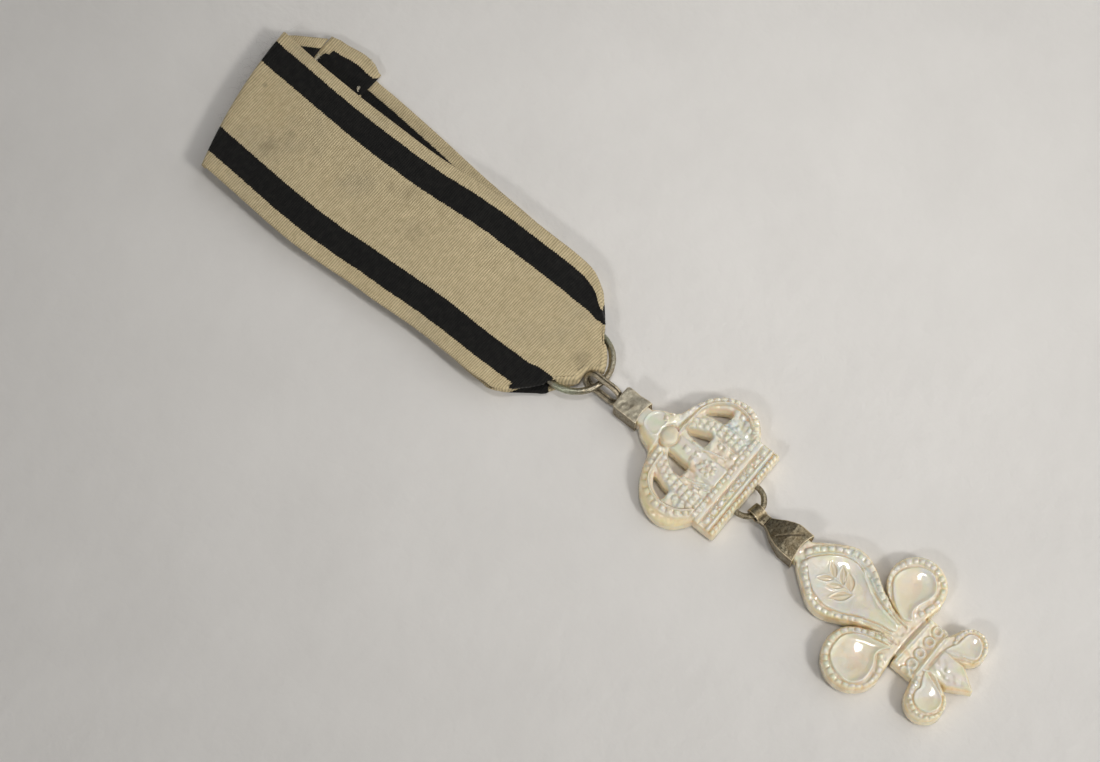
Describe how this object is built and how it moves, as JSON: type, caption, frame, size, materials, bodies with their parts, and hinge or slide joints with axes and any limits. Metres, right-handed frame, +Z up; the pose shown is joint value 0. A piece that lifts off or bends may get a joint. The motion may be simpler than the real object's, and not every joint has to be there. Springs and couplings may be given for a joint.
{
  "type": "order badge",
  "caption": "Order badge lying flat: striped folded ribbon through a wire ring, with a carved mother-of-pearl crown and lily in tarnished metal caps.",
  "frame": {"origin": "middle of the badge's box, on the table under it", "axes": "+Y along the badge from the lily's foot to the ribbon's top, +X across it to the right as seen from above, +Z up from the table through its thickness"},
  "size_m": [0.0406, 0.1796, 0.0047],
  "materials": {
    "ribbon": "ribbed silk, cream with two black stripes",
    "ring_silver": "worn silver with green tarnish",
    "tarnished_metal": "dark tarnished silver with worn edges",
    "shell": "polished mother-of-pearl with pink and green lustre"
  },
  "bodies": {
    "root": {"ribbon": "ribbon", "ring": "ring_silver", "crown_cap": "tarnished_metal", "crown": "shell", "crown_loop": "tarnished_metal", "lily_cap": "tarnished_metal", "lily": "shell"}
  },
  "joints": []
}
